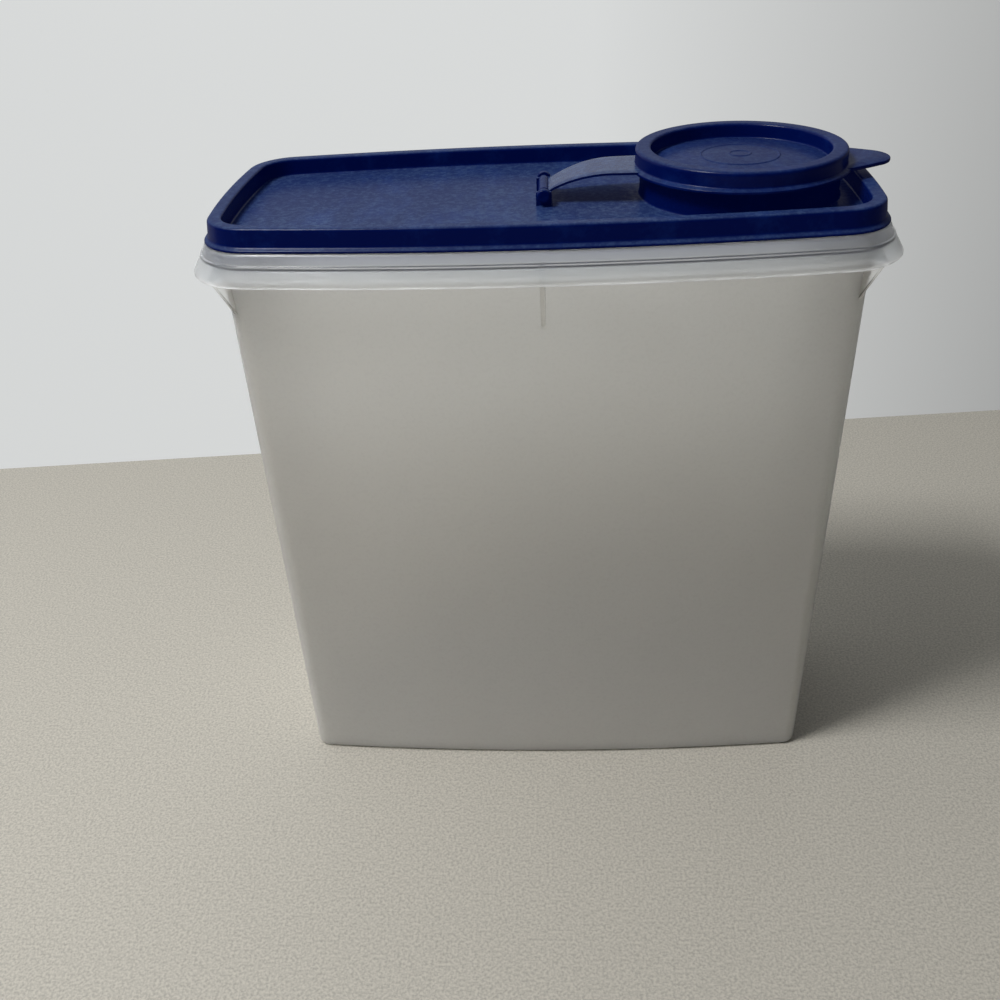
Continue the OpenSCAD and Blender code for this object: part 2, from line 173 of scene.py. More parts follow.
class Finishes(bpy.types.PropertyGroup):
    """Colours of the plastics and of the studio."""

    frosted: tone("Frosted plastic", (1.0, 0.99, 0.965), "Colour of the tub")
    haze: tone("Frosted haze", (0.985, 0.97, 0.94), "Colour of the tub's duller patches")
    # Painted tint: the skirt's cooler colour stands in for light from the navy lid bleeding onto
    # it.
    skirt: tone("Skirt", (0.96, 0.98, 1.0), "Colour of the skirt, cooler than the walls")
    # Painted shade: the neck is painted darker and bluer where the navy lid stands behind it.
    painted_lid_shade: tone("Neck", (0.65, 0.69, 0.82), "Colour of the neck, with the lid behind it")
    navy: tone("Navy plastic", (0.0, 0.0035, 0.054), "Colour of the lid and the cap")
    navy_worn: tone("Worn navy", (0.003, 0.014, 0.1), "Colour where the navy is scuffed")
    # Dust and painted sheen: a lighter blue on up-facing navy faces, partly real dust and partly
    # sheen from the light above.
    dust_and_sheen: tone("Dust", (0.09, 0.155, 0.275), "Colour of fine dust on the navy pieces")
    worktop: tone("Worktop", (0.565, 0.535, 0.468), "Colour of the floor")
    backdrop: tone("Backdrop", (0.3, 0.305, 0.305), "Colour of the wall behind")
    glow: FloatProperty(
        name="Backdrop glow",
        description="Light that the backdrop gives off",
        default=0.63,
        min=0.0,
    )


GROUPS = {
    "keeper_rim": RimSizes,
    "keeper_tub": TubSizes,
    "keeper_spout": SpoutSizes,
    "keeper_cap": CapSizes,
    "keeper_hinge": HingeSizes,
    "keeper_finish": Finishes,
}


# ---------------------------------------------------------------- outlines


def bowed_outline(half_l, half_w, corner, side_r, end_r, counts=(9, 22, 24)):
    """Closed outlines of four bowed sides and round corners, one row for each size given.

    A quarter is three circle arcs that meet tangentially. The end arc has its middle at
    (half_l - end_r, 0), the side arc at (0, half_w - side_r), and the corner arc where the
    circles around those two middles, of radius end_r - corner and side_r - corner, cross.
    Each arc is its middle plus its radius times (cos, sin) of equal angle steps.
    """
    half_l, half_w, corner, side_r, end_r = [
        np.asarray(v, float).reshape(-1, 1)
        for v in np.broadcast_arrays(half_l, half_w, corner, side_r, end_r)
    ]
    ex, sy = half_l - end_r, half_w - side_r
    far = np.hypot(ex, sy)
    ra, rb = side_r - corner, end_r - corner
    along = (ra**2 - rb**2 + far**2) / (2 * far)
    across = np.sqrt(ra**2 - along**2)
    ux, uy = ex / far, -sy / far
    cx = along * ux + across * uy
    cy = sy + along * uy - across * ux
    a0, a1 = np.arctan2(cy, cx - ex), np.arctan2(cy - sy, cx)
    end, mid, side = [np.linspace(0, 1, n + 1)[None, :] for n in counts]
    t0, t1, t2 = a0 * end, a0 + (a1 - a0) * mid[:, 1:], a1 + (np.pi / 2 - a1) * side[:, 1:]
    x = np.hstack([ex + end_r * np.cos(t0), cx + corner * np.cos(t1), side_r * np.cos(t2)])
    y = np.hstack([end_r * np.sin(t0), cy + corner * np.sin(t1), sy + side_r * np.sin(t2)])
    x = np.hstack([x, -x[:, -2::-1], -x[:, 1:], x[:, -2:0:-1]])
    y = np.hstack([y, y[:, -2::-1], -y[:, 1:], -y[:, -2:0:-1]])
    return np.stack([x, y], axis=2)


def softened(points, radii, steps=5, closed=False):
    """A profile whose corners are rounded.

    Each corner becomes a quadratic curve, (1 - t)^2 a + 2 t (1 - t) corner + t^2 b, where a
    and b lie the given radius away from it along its two edges. A point a little further
    out on each edge keeps the flats flat under smooth shading.
    """
    p = np.asarray(points, float)
    r = np.broadcast_to(np.asarray(radii, float), (len(p),)).reshape(-1, 1)
    before, after = np.roll(p, 1, axis=0) - p, np.roll(p, -1, axis=0) - p
    if not closed:
        before, after, r = before[1:-1], after[1:-1], r[1:-1]
        middle = p[1:-1]
    else:
        middle = p
    lb = np.maximum(np.linalg.norm(before, axis=1, keepdims=True), 1e-12)
    la = np.maximum(np.linalg.norm(after, axis=1, keepdims=True), 1e-12)
    near_b, near_a = np.minimum(r, 0.42 * lb), np.minimum(r, 0.42 * la)
    a, b = middle + before / lb * near_b, middle + after / la * near_a
    a2, b2 = middle + before / lb * near_b * 1.15, middle + after / la * near_a * 1.15
    t = np.linspace(0, 1, steps + 1).reshape(1, -1, 1)
    curve = (1 - t) ** 2 * a[:, None] + 2 * t * (1 - t) * middle[:, None] + t**2 * b[:, None]
    rows = np.concatenate([a2[:, None], curve, b2[:, None]], axis=1).reshape(-1, 2)
    if not closed:
        rows = np.vstack([p[:1], rows, p[-1:]])
    step = np.linalg.norm(rows - np.roll(rows, 1, axis=0), axis=1)
    keep = step > 2e-6
    if not closed:
        keep[0] = True
    return rows[keep]


def stretch(start, end, count):
    """Points on a straight line, both ends left out."""
    t = np.linspace(0, 1, count + 2)[1:-1, None]
    return (1 - t) * np.asarray(start, float) + t * np.asarray(end, float)


def inset(line, distance):
    """A closed outline moved inward.

    Each point moves along the mean of its two edges' inward normals, by the distance over
    the cosine of half the turn.
    """
    ahead = np.roll(line, -1, axis=0) - line
    ahead /= np.linalg.norm(ahead, axis=1, keepdims=True)
    behind = np.roll(ahead, 1, axis=0)
    n1 = np.column_stack([-ahead[:, 1], ahead[:, 0]])
    n0 = np.column_stack([-behind[:, 1], behind[:, 0]])
    mean = n0 + n1
    mean /= np.maximum((mean * mean).sum(axis=1, keepdims=True) / 2, 0.3)
    return line + mean * distance


# ---------------------------------------------------------------- meshes


def grid_piece(name, rows, closed=False, poles=False):
    """A mesh through rows of points, rows by columns by xyz, with the columns joined round.

    Faces are quads between neighbouring rows. With closed the last row joins the first,
    otherwise the two end rows are filled, or with poles drawn to their middles.
    """
    m, n = rows.shape[:2]
    index = np.arange(m * n).reshape(m, n)
    low, high = (index, np.roll(index, -1, axis=0)) if closed else (index[:-1], index[1:])
    quads = np.stack(
        [low, np.roll(low, -1, axis=1), np.roll(high, -1, axis=1), high], axis=2
    ).reshape(-1, 4)
    verts = rows.reshape(-1, 3)
    faces = quads.tolist()
    if poles:
        ends = np.array([rows[0].mean(axis=0), rows[-1].mean(axis=0)])
        verts = np.vstack([verts, ends])
        first, last = index[0], index[-1]
        faces += np.column_stack([np.roll(first, -1), first, np.full(n, m * n)]).tolist()
        faces += np.column_stack([last, np.roll(last, -1), np.full(n, m * n + 1)]).tolist()
    elif not closed:
        faces += [index[0, ::-1].tolist(), index[-1].tolist()]
    mesh = bpy.data.meshes.new(name)
    mesh.from_pydata(verts.tolist(), [], faces)
    if mesh.validate():
        raise RuntimeError(f"{name} has faces that are not sound")
    mesh.update()
    mesh.polygons.foreach_set("use_smooth", np.ones(len(mesh.polygons), bool))
    mesh.set_sharp_from_angle(angle=math.radians(40))
    piece = bpy.data.objects.new(name, mesh)
    bpy.context.scene.collection.objects.link(piece)
    return piece


def raised(lines, heights):
    """Rows of xy points given a height each: rows by columns by xyz."""
    z = np.broadcast_to(np.asarray(heights, float).reshape(-1, 1, 1), lines.shape[:2] + (1,))
    return np.concatenate([lines, z], axis=2)


def turned(name, profile, middle, axis, count=192):
    """A profile of (radius, height) turned about an axis through a point.

    A point is the middle plus the height along the axis plus the radius times (cos, sin)
    of the turn, on two directions across the axis.
    """
    t = np.linspace(0, 2 * np.pi, count, endpoint=False)
    r, h = profile[:, :1], profile[:, 1:]
    c, s = np.cos(t)[None, :], np.sin(t)[None, :]
    flat = np.ones_like(c)
    if axis == "Z":
        rows = np.stack([r * c, r * s, h * flat], axis=2)
    else:
        rows = np.stack([r * s, h * flat, r * c], axis=2)
    return grid_piece(name, rows + np.asarray(middle, float), poles=True)


def slab(name, outline, low, high, edge, plane="XY"):
    """A plate with softened edges.

    The closed outline, anticlockwise, is repeated at six heights; the first and last are
    moved inward by the edge's radius, the next ones by 0.3 of it. In the XZ plane the
    heights run along Y.
    """
    heights = np.array([low, low + 0.3 * edge, low + edge, high - edge, high - 0.3 * edge, high])
    moved = [inset(outline, d * edge) for d in (1.0, 0.3, 0.0, 0.0, 0.3, 1.0)]
    rows = raised(np.stack(moved), heights)
    if plane == "XZ":
        rows = np.stack([rows[..., 0], -rows[..., 2], rows[..., 1]], axis=2)
    return grid_piece(name, rows)


def finish_piece(piece, material, body, slot_name, *nodes):
    """Gives a piece its material and body, and hides the CAD nodes it stands for."""
    piece.data.materials.clear()
    piece.data.materials.append(material)
    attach(piece, body)
    if nodes:
        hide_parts(*nodes)
    return piece


# ---------------------------------------------------------------- finishes


def new_material(name):
    """A node material with its tree, shader and object coordinates.

    Where a material of that name exists it is given back alone, to be used as it is.
    """
    old = bpy.data.materials.get(name)
    if old is not None:
        return old, None, None, None
    mat = bpy.data.materials.new(name)
    mat.use_nodes = True
    tree = mat.node_tree
    tree.nodes.clear()
    out = tree.nodes.new("ShaderNodeOutputMaterial")
    shader = tree.nodes.new("ShaderNodeBsdfPrincipled")
    tree.links.new(shader.outputs["BSDF"], out.inputs["Surface"])
    place = tree.nodes.new("ShaderNodeTexCoord")
    return mat, tree, shader, place.outputs["Object"]


def noise(tree, place, scale, detail=3.0, rough=0.5, stretch_by=None):
    """A noise texture on the object's own coordinates, in features per metre."""
    if stretch_by is not None:
        mapping = tree.nodes.new("ShaderNodeMapping")
        mapping.inputs["Scale"].default_value = stretch_by
        tree.links.new(place, mapping.inputs["Vector"])
        place = mapping.outputs["Vector"]
    node = tree.nodes.new("ShaderNodeTexNoise")
    node.inputs["Scale"].default_value = scale
    node.inputs["Detail"].default_value = detail
    node.inputs["Roughness"].default_value = rough
    tree.links.new(place, node.inputs["Vector"])
    return node.outputs["Fac"]


def span(tree, value, low, high, to_low=0.0, to_high=1.0):
    """A value from low to high carried over to another range."""
    node = tree.nodes.new("ShaderNodeMapRange")
    node.inputs["From Min"].default_value = low
    node.inputs["From Max"].default_value = high
    node.inputs["To Min"].default_value = to_low
    node.inputs["To Max"].default_value = to_high
    tree.links.new(value, node.inputs["Value"])
    return node.outputs["Result"]


def height_of(tree, place, axis="Z"):
    """One coordinate of a place, by default its height."""
    node = tree.nodes.new("ShaderNodeSeparateXYZ")
    tree.links.new(place, node.inputs["Vector"])
    return node.outputs[axis]


def combined(tree, operation, first, second):
    """Two values put through a sum or a product."""
    node = tree.nodes.new("ShaderNodeMath")
    node.operation = operation
    tree.links.new(first, node.inputs[0])
    tree.links.new(second, node.inputs[1])
    return node.outputs[0]


def mixed(tree, share, first, second):
    """Two colours mixed by a share."""
    node = tree.nodes.new("ShaderNodeMix")
    node.data_type = "RGBA"
    for socket, colour in (("A", first), ("B", second)):
        target = [i for i in node.inputs if i.name == socket and i.type == "RGBA"][0]
        if isinstance(colour, bpy.types.NodeSocket):
            tree.links.new(colour, target)
        else:
            target.default_value = (*colour, 1.0)
    tree.links.new(share, node.inputs["Factor"])
    return [o for o in node.outputs if o.type == "RGBA"][0]


def bumped(tree, shader, height, distance, strength=1.0, before=None):
    """A bump on the shader, in metres of depth."""
    node = tree.nodes.new("ShaderNodeBump")
    node.inputs["Distance"].default_value = distance
    node.inputs["Strength"].default_value = strength
    tree.links.new(height, node.inputs["Height"])
    if before is not None:
        tree.links.new(before, node.inputs["Normal"])
    tree.links.new(node.outputs["Normal"], shader.inputs["Normal"])
    return node.outputs["Normal"]


def frosted_plastic(scene, name="frosted_plastic", ior=1.45):
    """Milky, light-passing plastic with a fine pebbled face and duller, handled patches.

    The skirt is painted a cooler tint for the navy lid's light on it and is clearer than the
    walls, the neck is painted darker and bluer as shade from the lid behind it, and the skirt's
    lower edge gathers light, which a faint glow stands in for.
    """
    mat, tree, shader, place = new_material(name)
    if tree is None:
        return mat
    finish, rim, tub = scene.keeper_finish, scene.keeper_rim, scene.keeper_tub
    mm = MM
    low, fold = rim.top - tub.skirt_drop, rim.top - tub.fold_drop
    patches = noise(tree, place, 9.0, 3.0, 0.55)
    colour = mixed(tree, span(tree, patches, 0.42, 0.7), tuple(finish.frosted), tuple(finish.haze))
    grain = noise(tree, place, 700.0, 2.0, 0.5)
    dimmer = tuple(0.9 * c for c in finish.frosted)
    colour = mixed(tree, span(tree, grain, 0.35, 0.5, 0.45, 0.0), colour, dimmer)
    height = height_of(tree, place)
    # Painted tint: from the skirt's lower edge up, the colour turns cooler for the navy lid's
    # light on it.
    skirt_tint_mask = span(tree, height, low - 1.2 * mm, low + 1.8 * mm)
    colour = mixed(tree, skirt_tint_mask, colour, tuple(finish.skirt))
    # Painted shade: above the fold the neck takes a darker, bluer colour for the navy lid behind
    # it.
    lid_shade_mask = span(tree, height, fold - 0.4 * mm, fold + 1.1 * mm)
    colour = mixed(tree, lid_shade_mask, colour, tuple(finish.painted_lid_shade))
    tree.links.new(colour, shader.inputs["Base Color"])
    tree.links.new(span(tree, height, 0.0, 0.16, 0.58, 0.92), shader.inputs["Transmission Weight"])
    handled = span(tree, noise(tree, place, 26.0, 4.0, 0.6), 0.3, 0.7, 0.45, 0.55)
    clearer = span(tree, height, low - 2.2 * mm, low + 1.8 * mm, 1.0, 0.62)
    tree.links.new(combined(tree, "MULTIPLY", handled, clearer), shader.inputs["Roughness"])
    first = bumped(tree, shader, grain, 0.06 * mm, 0.6)
    waves = noise(tree, place, 14.0, 1.0, 0.4)
    bumped(tree, shader, waves, 0.5 * mm, 0.4, first)
    shader.inputs["IOR"].default_value = ior
    shader.inputs["Coat Weight"].default_value = 0.4
    shader.inputs["Coat Roughness"].default_value = 0.12
    above = span(tree, height, low - 0.1 * mm, low, 0.0, 0.16)
    below = span(tree, height, low + 0.7 * mm, low + 0.5 * mm)
    sparkle = span(tree, noise(tree, place, 300.0, 3.0, 0.7), 0.35, 0.6, 0.4, 1.0)
    edge = combined(tree, "MULTIPLY", combined(tree, "MULTIPLY", below, above), sparkle)
    shader.inputs["Emission Color"].default_value = (1.0, 1.0, 1.0, 1.0)
    tree.links.new(edge, shader.inputs["Emission Strength"])
    return mat


def navy_plastic(finish, name="navy_plastic", dust_and_sheen_share=0.5, shine=0.235, dull=None):
    """Deep blue moulded plastic with a soft sheen, fine grain and light scuffs.

    Lighter blue on the faces that look up is partly fine dust and partly painted sheen from the
    light above. Around the point dull, if there is one, the sheen is mostly taken away, partly for
    grime and partly as painted shade where the strap blocks the reflection. A very faint glow
    stands in for light scattered inside.
    """
    mat, tree, shader, place = new_material(name)
    if tree is None:
        return mat
    scuffs = noise(tree, place, 60.0, 6.0, 0.7, (1.0, 0.35, 1.0))
    worn = mixed(tree, span(tree, scuffs, 0.5, 0.75), tuple(finish.navy), tuple(finish.navy_worn))
    # Dust and painted sheen: up-facing faces turn a lighter blue, partly real dust, partly painted
    # sheen from light above.
    specks = noise(tree, place, 420.0, 5.0, 0.8)
    drift = noise(tree, place, 22.0, 3.0, 0.6)
    specked = span(tree, specks, 0.45, 0.75, 0.3 * dust_and_sheen_share, dust_and_sheen_share)
    drifted = span(tree, drift, 0.4, 0.7, 0.7, 1.0)
    upward = span(tree, height_of(tree, place.node.outputs["Normal"]), 0.4, 0.9)
    dust_and_sheen_mask = combined(tree, "MULTIPLY", combined(tree, "MULTIPLY", specked, drifted), upward)
    colour = mixed(tree, dust_and_sheen_mask, worn, tuple(finish.dust_and_sheen))
    tree.links.new(colour, shader.inputs["Base Color"])
    tree.links.new(span(tree, scuffs, 0.35, 0.7, 0.24, 0.36), shader.inputs["Roughness"])
    grain = noise(tree, place, 900.0, 2.0, 0.5)
    first = bumped(tree, shader, grain, 0.06 * MM, 0.7)
    waves = noise(tree, place, 35.0, 2.0, 0.5)
    bumped(tree, shader, waves, 0.3 * MM, 0.35, first)
    shader.inputs["IOR"].default_value = 1.5
    shader.inputs["Specular IOR Level"].default_value = 0.0
    shader.inputs["Coat Weight"].default_value = shine
    # Painted shade: around the point under the strap the sheen is mostly taken away, partly for
    # grime and partly because the strap blocks the reflection there.
    if dull is not None:
        away = tree.nodes.new("ShaderNodeVectorMath")
        away.operation = "DISTANCE"
        away.inputs[1].default_value = dull
        tree.links.new(place, away.inputs[0])
        ragged = span(tree, specks, 0.3, 0.7, -6 * MM, 6 * MM)
        uneven = combined(tree, "ADD", away.outputs["Value"], ragged)
        sheen = span(tree, uneven, 12 * MM, 24 * MM, 0.3 * shine, shine)
        tree.links.new(sheen, shader.inputs["Coat Weight"])
    shader.inputs["Coat Roughness"].default_value = 0.26
    tree.links.new(first, shader.inputs["Coat Normal"])
    shader.inputs["Emission Color"].default_value = (0.0, 0.06, 1.0, 1.0)
    shader.inputs["Emission Strength"].default_value = 0.012
    return mat


def plain_surface(name, colour, roughness, speckle, glow=0.0):
    """Plain matt stage surface with a faint speckle and a soft glow that fades towards +X."""
    mat, tree, shader, place = new_material(name)
    if tree is None:
        return mat
    grain = noise(tree, place, 900.0, 3.0, 0.7)
    darker = tuple(c * (1.0 - speckle) for c in colour)
    mix = mixed(tree, span(tree, grain, 0.4, 0.65), tuple(colour), darker)
    tree.links.new(mix, shader.inputs["Base Color"])
    shader.inputs["Roughness"].default_value = roughness
    side = span(tree, height_of(tree, place, "X"), 0.08, 1.5)
    fading = mixed(tree, side, (0.98, 1.0, 0.995), (0.28, 0.28, 0.27))
    tree.links.new(fading, shader.inputs["Emission Color"])
    shader.inputs["Emission Strength"].default_value = glow
    return mat


# ---------------------------------------------------------------- outlines of this object


def rim_line(rim, out):
    """The lid rim's outline moved outward; every arc keeps its middle, so it is parallel."""
    out = np.asarray(out, float)
    return bowed_outline(
        rim.half_l + out, rim.half_w + out, rim.corner + out, rim.side_bow + out, rim.end_bow + out
    )


def tub_line(tub, share, out):
    """The tub's outline at a share of the way from the table to the shoulder."""
    share, out = np.asarray(share, float), np.asarray(out, float)
    return bowed_outline(
        tub.base_l + (tub.top_l - tub.base_l) * share + out,
        tub.base_w + (tub.top_w - tub.base_w) * share + out,
        tub.base_corner + (tub.top_corner - tub.base_corner) * share + out,
        tub.side_bow + out,
        tub.end_bow + out,
    )


def neck_profile(rim, tub):
    """Profile of (distance out, height) from the neck over skirt and lip to the inside."""
    top = rim.top
    under = top - tub.fold_drop - tub.skirt
    low = top - tub.skirt_drop
    ledge = top - rim.height - 0.4 * MM
    lip_top = top - 1.9 * MM
    lip_out = -rim.wall - rim.gap
    lip_in = -(rim.width - rim.wall) + rim.gap
    mm = MM
    points = [
        (0, low),
        (0, under),
        (tub.fold_out - tub.skirt * 0.7, under),
        (tub.skirt_out - tub.skirt, low + 0.6 * mm),
        (tub.skirt_out - tub.skirt, low),
        (tub.skirt_out, low),
        (tub.skirt_out, low + 0.75 * mm),
        (tub.fold_out + 0.8 * mm, top - tub.fold_drop - 0.5 * mm),
        (tub.fold_out + 0.6 * mm, top - tub.fold_drop + 0.3 * mm),
        (tub.fold_out - 0.1 * mm, top - tub.fold_drop + 0.45 * mm),
        (rim.flange + 0.5 * mm, ledge - 0.6 * mm),
        (rim.flange, ledge),
        (lip_out, ledge),
        (lip_out, lip_top),
        (lip_in, lip_top),
        (lip_in, low + 1 * mm),
    ]
    radii = np.array([0, 1.2, 0.8, 0.3, 0.5, 0.4, 0.4, 0.3, 0.3, 0.2, 0.3, 0.3, 0.3, 0.4, 0.5, 0])
    return softened(points, radii * mm, steps=4)


def tub_rows(rim, tub):
    """Rows of the tub: foot, wall, shoulder, neck, skirt, lip, inside wall and floor.

    A row is (1 - w) times the tub's outline plus w times the rim's, each moved out by its
    own distance. On the shoulder w is the height share to the power 1.85 outside and 1.55
    inside, and 1 above it.
    """
    low = rim.top - tub.skirt_drop
    shoulder = low - tub.shoulder
    neck = neck_profile(rim, tub)
    lip_in = neck[-1, 0]
    wall = -tub.wall
    reach = 4.6 * MM
    foot = softened([(-reach, 0), (0, 0), (0, 20 * MM)], tub.foot * 1.25, steps=8)
    rise = stretch((0, 20 * MM), (0, shoulder), 12)
    fall = stretch((wall, shoulder - 1 * MM), (wall, 22 * MM), 12)
    basin = softened(
        [(wall, 20 * MM), (wall, tub.floor), (wall - 3.6 * MM, tub.floor)], 3.2 * MM, steps=8
    )
    up, down = np.linspace(0, 1, 18)[:-1], np.linspace(1, 0, 18)[1:]
    z_up = shoulder + tub.shoulder * up
    z_down = shoulder - 1 * MM + (low + 1 * MM - shoulder) * down
    out_tub = np.concatenate(
        [foot[:, 0], rise[:, 0], 0 * up, 0 * neck[:, 0], wall + 0 * down, fall[:, 0], basin[:, 0]]
    )
    out_rim = np.concatenate(
        [0 * foot[:, 0], 0 * rise[:, 0], 0 * up, neck[:, 0], lip_in + 0 * down,
         0 * fall[:, 0], 0 * basin[:, 0]]
    )
    z = np.concatenate(
        [foot[:, 1], rise[:, 1], z_up, neck[:, 1], z_down, fall[:, 1], basin[:, 1]]
    )
    w = np.concatenate(
        [0 * foot[:, 0], 0 * rise[:, 0], up**1.85, 1 + 0 * neck[:, 0], down**1.55,
         0 * fall[:, 0], 0 * basin[:, 0]]
    )
    share = np.clip(z / shoulder, 0, 1)
    lines = (1 - w)[:, None, None] * tub_line(tub, share, out_tub)
    lines = lines + w[:, None, None] * rim_line(rim, out_rim)
    return raised(lines, z)


def lid_rows(rim, spout):
    """Rows of the lid, a closed profile carried round.

    The profile goes up the rim's outer wall, over the top and down to the panel, then
    straight from the rim's outline to the collar's circle, up the collar, down its bore,
    back under the panel and through the channel that the tub's lip sits in. The circle's
    points lie in the directions of the outline's points, seen from the spout's middle.
    """
    top, mm = rim.top, MM
    panel = top - spout.panel_drop
    under = panel - spout.panel
    inner = -rim.width
    plug = -(rim.width - rim.wall)
    foot = top - rim.height
    outer = softened(
        [
            (rim.flange - 0.9 * mm, foot),
            (rim.flange, foot),
            (rim.flange, foot + 0.8 * mm),
            (0.75 * mm, foot + 1.7 * mm),
            (0, top),
            (inner, top),
            (inner, panel),
            (inner - 2.2 * mm, panel),
        ],
        np.array([0, 0.25, 0.4, 0.7, 1.1, 1.1, 1.0, 0]) * mm,
        steps=6,
    )
    channel = softened(
        [
            (inner - 0.6 * mm, under),
            (inner, under),
            (inner, top - rim.plug),
            (plug - 0.5 * mm, top - rim.plug),
            (plug, top - rim.plug + 1.2 * mm),
            (plug, top - 1.5 * mm),
            (-rim.wall, top - 1.5 * mm),
            (rim.flange - 1.5 * mm, foot),
        ],
        np.array([0, 0.3, 0.3, 0.3, 0.3, 0.3, 0.3, 0]) * mm,
        steps=3,
    )
    r, bore = spout.radius, spout.radius - spout.wall
    collar = softened(
        [
            (r + 2.0 * mm, panel),
            (r, panel),
            (r, panel + spout.height),
            (bore, panel + spout.height),
            (bore, under),
            (bore + 1.0 * mm, under),
        ],
        np.array([0, 1.2, 0.8, 0.8, 0.2, 0]) * mm,
        steps=6,
    )
    middle = np.array([spout.x, 0.0])
    edge = rim_line(rim, outer[-1, 0])[0] - middle
    towards = edge / np.linalg.norm(edge, axis=1, keepdims=True)

    def circles(radius):
        return middle + np.asarray(radius).reshape(-1, 1, 1) * towards[None]

    t = np.linspace(0, 1, 14)[1:-1].reshape(-1, 1, 1)
    over = (1 - t) * rim_line(rim, outer[-1, 0]) + t * circles(collar[0, 0])
    back = (1 - t) * circles(collar[-1, 0]) + t * rim_line(rim, channel[0, 0])
    outside, inside = rim_line(rim, outer[:, 0]), rim_line(rim, channel[:, 0])
    lines = np.concatenate([outside, over, circles(collar[:, 0]), back, inside])
    n = len(t)
    z = np.concatenate(
        [outer[:, 1], np.full(n, panel), collar[:, 1], np.full(n, under), channel[:, 1]]
    )
    return raised(lines, z)


# The two fine rings on the cap's face: radius, half width and height in millimetres.
FACE_RINGS = ((3.9, 0.5, 0.25), (14.5, 0.5, 0.28))


class Measures:
    """Places on the cap and its hinge that several pieces share."""

    def __init__(self, scene):
        rim, spout = scene.keeper_rim, scene.keeper_spout
        cap, hinge = scene.keeper_cap, scene.keeper_hinge
        self.panel = rim.top - spout.panel_drop
        self.skirt_in = spout.radius + cap.outer_gap
        self.radius = self.skirt_in + cap.wall
        self.plug = spout.radius - spout.wall - cap.inner_gap
        self.dish = self.plug - cap.wall
        self.top = self.panel + spout.height + 0.4 * MM + cap.wall
        self.low = self.top - cap.height
        self.face = self.top - cap.drop
        self.dome_r = (self.dish**2 + cap.dome**2) / (2 * cap.dome)
        self.strap_top = self.low + cap.sheet + 0.2 * MM
        self.axis_z = self.panel + hinge.height
        self.clip_y = hinge.strap_half + hinge.side_gap
        self.knob_y = self.clip_y + hinge.clip + hinge.side_gap


def cap_profile(cap, at):
    """Profile of (radius, height) of the cap, from the middle of its face to its underside.

    The face is a shallow dome, height less radius squared over twice the dome's radius,
    with two fine rings, each a raised cosine across its width.
    """
    mm = MM
    r = np.concatenate(
        [
            np.linspace(0.4, 2.8, 4),
            np.linspace(3.3, 4.5, 9),
            np.linspace(5.2, 13.6, 7),
            np.linspace(13.9, 15.1, 9),
            np.linspace(15.8, 31.2, 9),
        ]
    ) * mm
    z = at.face + cap.dome - r**2 / (2 * at.dome_r)
    for middle, half, height in FACE_RINGS:
        u = np.clip(np.abs(r / mm - middle) / half, 0, 1)
        z = z + height * mm * 0.5 * (1 + np.cos(np.pi * u))
    face = np.column_stack([r, z])
    foot = at.face - cap.wall
    wall = softened(
        [
            face[-1],
            (at.dish, at.face - 0.05 * mm),
            (at.dish, at.top),
            (at.radius, at.top),
            (at.radius, at.low + 1.7 * mm),
            (at.radius + cap.lip, at.low + 0.95 * mm),
            (at.radius + cap.lip, at.low),
            (at.skirt_in, at.low),
            (at.skirt_in, at.top - cap.wall),
            (at.plug, at.top - cap.wall),
            (at.plug, foot + 1.6 * mm),
            (at.plug - 0.7 * mm, foot),
            (at.plug - 3 * mm, foot + 0.35 * mm),
        ],
        np.array([0, 1.0, 1.3, 1.5, 0.5, 0.3, 0.3, 0.3, 0.4, 0.4, 0.4, 0.3, 0]) * mm,
        steps=7,
    )
    r_in = np.linspace(30.2, 0.4, 10) * mm
    below = at.face + cap.dome - cap.wall - r_in**2 / (2 * at.dome_r)
    return np.vstack([face[:-1], wall, np.column_stack([r_in, below])])[::-1]


def strap_rows(cap, hinge, spout, at):
    """Rows of the strap: a soft-edged rectangle carried along the arch and the flat.

    The arch is a circle arc that starts in the sleeve and ends level, its radius the
    arch's. With u the share of the way from beside the clips to the cap, the half width is
    the one at the cap less (1 - u)^2 times what it gains. The last rows bend to the cap's
    wall, x = spout - sqrt(r^2 - y^2).
    """
    mm = MM
    flat_x = hinge.x + hinge.level
    middle_z = at.strap_top - hinge.arch
    start = math.asin((hinge.x + 0.4 * mm - flat_x) / (hinge.arch - cap.sheet / 2))
    a = np.linspace(start, 0, 34)
    r = hinge.arch - cap.sheet / 2
    x, z = flat_x + r * np.sin(a), middle_z + r * np.cos(a)
    nx, nz = np.sin(a), np.cos(a)
    share = np.concatenate([0 * a, np.linspace(0, 1, 12)[1:]])
    x = np.concatenate([x, np.full(11, flat_x)])
    z = np.concatenate([z, np.full(11, z[-1])])
    nx, nz = np.concatenate([nx, np.zeros(11)]), np.concatenate([nz, np.ones(11)])
    begin = hinge.bar + hinge.bar_gap + hinge.clip_wall + 1 * mm
    full = spout.x - at.skirt_in - hinge.x
    along = x - hinge.x + share * (full - (flat_x - hinge.x))
    u = np.clip((along - begin) / (full - begin), 0, 1)
    half = hinge.strap_cap_half - (hinge.strap_cap_half - hinge.strap_half) * (1 - u) ** 2
    edge = cap.sheet * 0.28
    across = np.linspace(-1, 1, 15)
    h = cap.sheet / 2
    top = np.column_stack([across[::-1], np.full(15, 1.0)])
    bottom = np.column_stack([across, np.full(15, -1.0)])
    ring = np.vstack([bottom, top])
    y = ring[None, :, 0] * half[:, None]
    t = np.broadcast_to(ring[None, :, 1] * h, y.shape).copy()
    side = np.abs(ring[:, 0]) > 0.999
    t[:, side] *= 0.55
    y = np.where(np.abs(ring[None, :, 0]) > 0.999, y, y * (1 - edge / half[:, None]) ** 0.35)
    wall_x = spout.x - np.sqrt((at.skirt_in + 0.65 * mm) ** 2 - y**2)
    px = x[:, None] + nx[:, None] * t
    px = px + share[:, None] * (wall_x - px)
    pz = z[:, None] + nz[:, None] * t
    return np.stack([px, y, pz], axis=2)


